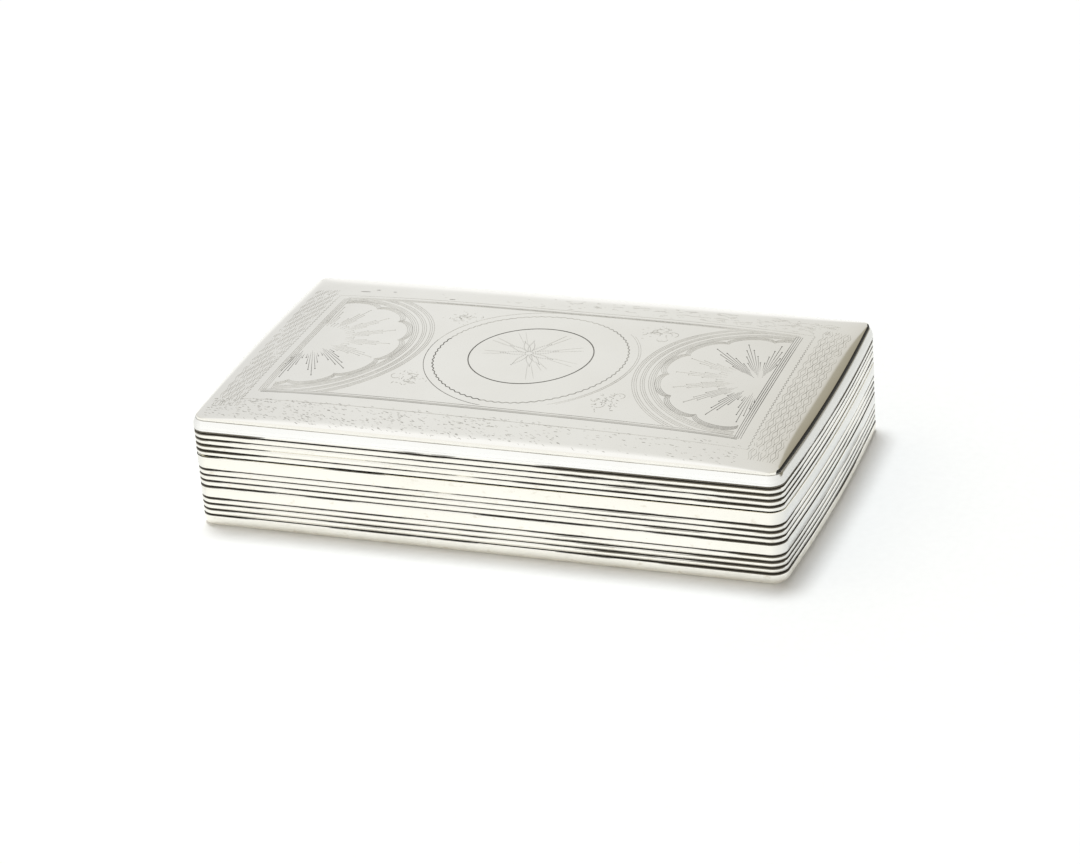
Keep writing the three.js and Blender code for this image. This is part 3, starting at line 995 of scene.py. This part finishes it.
# The flower: its heart, and direction and length of its sprays
HEART = (-1.05, 0.6)
SPRAYS = [
    (21, 7.7), (-18, 8.0), (-70, 8.2), (-50, 6.0), (-108, 4.6),
    (186, 6.6), (150, 7.4), (117, 7.4), (99, 4.4), (59, 7.4),
]
SPRAY_SPREAD = 4.0
SPRAY_START = 0.8  # of the petal's length
SPRAY_SHORTEST = 1.0
PETAL_LENGTH = 4.4
PETAL_START = 0.5
PETAL_BELLY = 0.42
PETAL_ROOT = 0.15  # how far along its swing a petal starts
PETAL_STEP = 0.13
PETAL_WIDTH = 0.13
PETAL_DASH, PETAL_GAP = 1, 2


def engrave_petal(degrees, length, side):
    """One dotted side of a petal, which bellies out from its middle line."""
    line = []
    steps = int(length / PETAL_STEP)
    for i in range(steps + 1):
        share = i / steps
        middle = polar(HEART, PETAL_START + (length - PETAL_START) * share, degrees)
        belly = PETAL_BELLY * math.sin(math.pi * min(1.0, PETAL_ROOT + share))
        line.append(polar(middle, side * belly, degrees + 90))
    dashes("mid", line, PETAL_WIDTH, PETAL_DASH, PETAL_GAP)


def engrave_rosette():
    cut("dark", circle(*INNER_CIRCLE), INNER_WIDTH, True, EVEN)
    centre, radius = WAVY_CIRCLE
    for start, end, tone in WAVY_TONES:
        steps = int((end - start) * WAVY_STEPS)
        wave = []
        for i in range(steps + 1):
            degrees = start + (end - start) * i / steps
            swing = WAVE_DEPTH * math.sin(math.radians(degrees * WAVES))
            wave.append(polar(centre, radius + swing, degrees))
        cut(tone, wave, WAVY_WIDTH, taper=EVEN)
    centre, radius = THIN_CIRCLE
    for out, start, end, tone in THIN_ARCS:
        cut(tone, arc_line(centre, radius + out, start, end), LINE_WIDTH)
    for degrees, length in SPRAYS:
        for side in (-1, 1):
            engrave_petal(degrees, min(length, PETAL_LENGTH), side)
            if length > PETAL_LENGTH + SPRAY_SHORTEST:
                turn = degrees + side * SPRAY_SPREAD
                start = polar(HEART, PETAL_LENGTH * SPRAY_START, turn)
                cut("fine", straight(start, polar(HEART, length, turn)), HAIR_WIDTH)


SPRIGS = [((-14.8, 10.6), "fine"), ((14.6, 11.0), "fine"), ((-15.0, -9.8), "fine"), ((14.0, -11.2), "mid")]
CURLS = 9
CURL_PLACE = (0.4, 2.6)
CURL_RADIUS = (0.4, 1.0)
CURL_TURN = (90, 220)
LEAVES = 30
LEAF_PLACE = (0.2, 2.7)
LEAF_LENGTH = (0.2, 0.5)
LEAF_WIDTH = 0.12


def engrave_sprig(centre, tone):
    """A small worn sprig: a few curls and leaf strokes."""
    for _ in range(CURLS):
        around = polar(centre, rng.uniform(*CURL_PLACE), rng.uniform(0, 360))
        start = rng.uniform(0, 360)
        radius = rng.uniform(*CURL_RADIUS)
        curl = arc_line(around, radius, start, start + rng.uniform(*CURL_TURN), SHORT_STEP)
        cut("fine", curl, LINE_WIDTH)
    for _ in range(LEAVES):
        around = polar(centre, rng.uniform(*LEAF_PLACE), rng.uniform(0, 360))
        tip = polar(around, rng.uniform(*LEAF_LENGTH), rng.uniform(0, 360))
        cut(tone, straight(around, tip, SHORT_STEP), LEAF_WIDTH)


# Engine-turned border: waves side by side, two with the swing and two against it
BORDER_SIDES = (37.0, 41.0)
BORDER_SIDES_END = 19.0
BORDER_BACK = (17.2, 21.6)
BORDER_BACK_SPAN = (-38.0, 38.5)
BACK_WEAR = (-0.36, 0.01)  # level in the middle, and gain for each millimetre to the right
WAVE_PITCH = 0.33
WAVE_LENGTH = 2.6
WAVE_SWING = 0.16
WAVE_STEP = 0.2
# The right and the left border: side, line width, front end and level of wear
SIDE_BORDERS = [(1, LINE_WIDTH, -20.5, 0.6), (-1, 0.05, -19.5, 0.5)]
# Strokes left of the front border: how many, from where to where along it, and across it
STROKES = [(270, -41.5, -22.0), (360, -22.0, 10.0), (120, 10.0, 36.0)]
STROKE_ROWS = (-17.4, -21.9)
STROKE_LENGTH = (0.2, 0.55)
STROKE_ANGLE = -14.0
STROKE_SWING = 16.0
STROKE_WIDTH = 0.1
STROKE_TONES = ("mid", "mid", "fine", "fine", "fine")
# Marks near the back left corner: place and length
MARKS = [((-33.6, 18.6), 1.5), ((-31.4, 19.5), 0.6), ((-19.2, 17.4), 0.9), ((-28.6, 19.0), 0.5)]
MARK_WIDTH = 0.2


def border_wave(row, start, end):
    """Points of one wave of the border: (place along it, swing across it)."""
    count = int((end - start) / WAVE_STEP)
    phase = math.pi * (row // 2 % 2)
    wave = []
    for i in range(count + 1):
        along = start + (end - start) * i / count
        wave.append((along, WAVE_SWING * math.sin(2 * math.pi * along / WAVE_LENGTH + phase)))
    return wave


def engrave_borders():
    columns = int((BORDER_SIDES[1] - BORDER_SIDES[0]) / WAVE_PITCH)
    for side, width, front, level in SIDE_BORDERS:
        for column in range(columns):
            x = BORDER_SIDES[0] + WAVE_PITCH * column
            wave = border_wave(column, front, BORDER_SIDES_END)
            worn("fine", [(side * (x + swing), along) for along, swing in wave], width, lambda point: level)
    rows = int((BORDER_BACK[1] - BORDER_BACK[0]) / WAVE_PITCH)
    for row in range(rows):
        y = BORDER_BACK[0] + WAVE_PITCH * row
        wave = [(along, y + swing) for along, swing in border_wave(row, *BORDER_BACK_SPAN)]
        worn("fine", wave, HAIR_WIDTH, lambda point: BACK_WEAR[0] + BACK_WEAR[1] * point[0])


def engrave_strokes():
    for count, start, end in STROKES:
        for _ in range(count):
            near = (rng.uniform(start, end), rng.uniform(*STROKE_ROWS))
            length = rng.uniform(*STROKE_LENGTH)
            far = polar(near, length, STROKE_ANGLE + rng.uniform(-STROKE_SWING, STROKE_SWING))
            cut(rng.choice(STROKE_TONES), straight(near, far, SHORT_STEP), STROKE_WIDTH)
    for near, length in MARKS:
        cut("mid", straight(near, (near[0] + length, near[1]), SHORT_STEP), MARK_WIDTH)


def width_share(taper, i, count):
    """The share of its width that a line has at point i of count."""
    if taper == EVEN:
        return 1.0
    if taper == BOTH:
        steps = min(i, count - 1 - i)
        thin, rate = BOTH_TAPER
    else:
        steps = i
        thin, rate = START_TAPER
    return thin + (1 - thin) * min(1.0, rate * steps / count)


def add_wedge(points, faces, line, width, closed, taper):
    """Adds a line: two edges just over the sheet and a bottom inside it, with closed ends."""
    first = len(points)
    count = len(line)
    for i, (x, y) in enumerate(line):
        before = line[i - 1] if i or closed else line[i]
        after = line[(i + 1) % count] if i < count - 1 or closed else line[i]
        dx, dy = after[0] - before[0], after[1] - before[1]
        size = math.hypot(dx, dy) or 1.0
        half = width / 2 * width_share(taper, i, count)
        ox, oy = -dy / size * half, dx / size * half
        for edge in ((x + ox, y + oy), (x - ox, y - oy)):
            points.append((*edge, lid_height(*edge) + LINE_TOP))
        points.append((x, y, lid_height(x, y) - LINE_DEPTH))
    for i in range(count if closed else count - 1):
        a = first + 3 * i
        b = first + 3 * ((i + 1) % count)
        faces.append((a + 1, b + 1, b, a))
        faces.append((a, b, b + 2, a + 2))
        faces.append((a + 2, b + 2, b + 1, a + 1))
    if not closed:
        last = first + 3 * (count - 1)
        faces += [(first, first + 2, first + 1), (last, last + 1, last + 2)]


def build_lines(tone, material):
    points, faces = [], []
    for line, width, closed, taper in cuts[tone]:
        add_wedge(points, faces, [laid(x, y) for x, y in line], width, closed, taper)
    obj = add_object("engraving_" + tone, points, faces, [material], sharp=LINE_SHARP_ANGLE)
    place(obj, "lid", "engraved_lid")


def build_engraving():
    engrave_frame()
    engrave_outer_frame()
    for fan in FANS:
        engrave_fan(fan)
    engrave_rosette()
    for centre, tone in SPRIGS:
        engrave_sprig(centre, tone)
    engrave_borders()
    engrave_strokes()
    for tone, material in (("dark", LINE_DARK), ("mid", LINE_MID), ("fine", LINE_FINE)):
        build_lines(tone, material)


def build_hinge():
    for i in range(1, BODY_KNUCKLES + 1):
        build_knuckle(f"body_knuckle_{i}", "body")
    for i in range(1, LID_KNUCKLES + 1):
        build_knuckle(f"lid_knuckle_{i}", "lid")
    build_plug("hinge_plug_right")
    build_plug("hinge_plug_left")
    # These three keep the solids of the frame
    for node, material in (
        ("body_hinge_bearer", HINGE_SILVER),
        ("lid_hinge_bearer", HINGE_SILVER),
        ("hinge_pin", PIN_METAL),
    ):
        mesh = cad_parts[node].data
        mesh.materials.clear()
        mesh.materials.append(material)


# Floor, light and camera

FLOOR_HALF = 2500.0
FLOOR_GLOW = 0.07
PAPER_GRAIN = 900.0
PAPER = [(0.3, (0.86, 0.86, 0.85)), (0.7, (0.88, 0.88, 0.87))]


def seen_or_mirrored(tree):
    """1 for rays from the camera, from mirrors and through glass, else 0."""
    path = tree.nodes.new("ShaderNodeLightPath")
    mirrored = math_node(tree, "MAXIMUM", path.outputs["Is Camera Ray"], path.outputs["Is Glossy Ray"])
    return math_node(tree, "MAXIMUM", mirrored, path.outputs["Is Transmission Ray"])


def build_floor():
    half = FLOOR_HALF
    corners = [(-half, -half, 0), (half, -half, 0), (half, half, 0), (-half, half, 0)]
    floor = add_object("floor", corners, [(0, 1, 2, 3)], [])
    material = bpy.data.materials.new("paper")
    material.use_nodes = True
    tree = material.node_tree
    tree.nodes.clear()
    out = tree.nodes.new("ShaderNodeOutputMaterial")
    paper = tree.nodes.new("ShaderNodeBsdfDiffuse")
    link(tree, ramp(tree, noise(tree, PAPER_GRAIN), PAPER), paper.inputs["Color"])
    glow = tree.nodes.new("ShaderNodeEmission")
    glow.inputs["Color"].default_value = (1.0, 1.0, 1.0, 1.0)
    strength = spread(tree, seen_or_mirrored(tree), 0.0, 1.0, 0.0, FLOOR_GLOW)
    link(tree, strength, glow.inputs["Strength"])
    total = tree.nodes.new("ShaderNodeAddShader")
    link(tree, paper.outputs[0], total.inputs[0])
    link(tree, glow.outputs[0], total.inputs[1])
    link(tree, total.outputs[0], out.inputs["Surface"])
    floor.data.materials.append(material)


# The tent's front and top, and its back from left to right. Spans are parts of a direction.
TENT_WHITE = (1.0, 1.0, 0.985)
TENT_BACK = [
    (0.02, (0.755, 0.755, 0.74)),
    (0.125, (0.82, 0.82, 0.80)),
    (0.18, (0.81, 0.81, 0.785)),
    (0.264, (0.75, 0.745, 0.715)),
    (0.304, (0.735, 0.73, 0.695)),
    (0.347, (0.72, 0.71, 0.67)),
    (0.47, (0.665, 0.65, 0.605)),
    (0.50, (0.40, 0.375, 0.30)),
    (0.8, (0.34, 0.31, 0.235)),
    (1.0, (0.30, 0.27, 0.20)),
]
FRONT_TO_BACK = (0.03, 0.44)
FLOOR_TO_BACK = (0.06, 0.19)
LEFT_TO_RIGHT = (-0.5, 0.5)
# Soft light on what is not a mirror: more from the left than from the right
SOFT_LIGHT = [(0.0, (0.78, 0.73, 0.64)), (1.0, (0.06, 0.05, 0.04))]


def build_world():
    """A white tent: bright in front and overhead, light grey behind, warmer and darker to the back right."""
    world = bpy.data.worlds.new("tent")
    bpy.context.scene.world = world
    world.use_nodes = True
    tree = world.node_tree
    x, y, z = axes(tree, "Generated")
    over_front = spread(tree, y, *FRONT_TO_BACK, 0.0, 1.0, True)
    over_floor = spread(tree, z, *FLOOR_TO_BACK, 0.0, 1.0, True)
    behind = math_node(tree, "MULTIPLY", over_front, over_floor)
    right = spread(tree, x, *LEFT_TO_RIGHT, 0.0, 1.0)
    tent = blend(tree, behind, TENT_WHITE, ramp(tree, right, TENT_BACK))
    light = blend(tree, seen_or_mirrored(tree), ramp(tree, right, SOFT_LIGHT), tent)
    link(tree, light, tree.nodes["Background"].inputs["Color"])


LAMP_FROM = (-0.12, 0.14, 1.0)
LAMP_SPREAD = 18.0
LAMP_ENERGY = 2.4
LAMP_COLOUR = (0.90, 0.95, 1.0)


def build_lamp():
    """One wide soft lamp high over the back, which gives the box its narrow shadow."""
    data = bpy.data.lights.new("key", "SUN")
    data.energy = LAMP_ENERGY
    data.angle = math.radians(LAMP_SPREAD)
    data.color = LAMP_COLOUR
    lamp = bpy.data.objects.new("key", data)
    bpy.context.scene.collection.objects.link(lamp)
    lamp.rotation_euler = (-Vector(LAMP_FROM)).to_track_quat("-Z", "Y").to_euler()
    lamp.visible_glossy = False
    lamp.visible_camera = False


# Camera, fitted to the photo: degrees, then where it stands from the point it is aimed at
AZIMUTH = 21.46
ELEVATION = 26.47
ROLL = -4.50
AIM = (0.4, 0.0, 11.1)
DISTANCE = 522.06
AIM_RIGHT = -0.172
AIM_UP = -3.732
LENS = 123.79
SENSOR = 36.0
CLIP_METRES = (0.01, 20.0)


def build_camera():
    azimuth, elevation, roll = (math.radians(v) for v in (AZIMUTH, ELEVATION, ROLL))
    level = Vector((math.cos(azimuth), math.sin(azimuth), 0.0))
    away = Vector((
        math.sin(azimuth) * math.cos(elevation),
        -math.cos(azimuth) * math.cos(elevation),
        math.sin(elevation),
    ))
    upright = away.cross(level)
    right = math.cos(roll) * level + math.sin(roll) * upright
    up = math.cos(roll) * upright - math.sin(roll) * level
    centre = Vector(AIM) + DISTANCE * away + AIM_RIGHT * right + AIM_UP * up
    data = bpy.data.cameras.new("camera")
    data.lens = LENS
    data.sensor_width = SENSOR
    data.clip_start, data.clip_end = CLIP_METRES
    camera = bpy.data.objects.new("camera", data)
    bpy.context.scene.collection.objects.link(camera)
    turn = Matrix((right, up, away)).transposed().to_4x4()
    camera.matrix_world = Matrix.Translation(centre * MM) @ turn
    bpy.context.scene.camera = camera


build_pan()
build_wall()
build_bezel()
build_rim()
build_dome()
build_hinge()
build_engraving()
build_floor()
build_world()
build_lamp()
build_camera()
bpy.context.scene.view_settings.view_transform = "Standard"
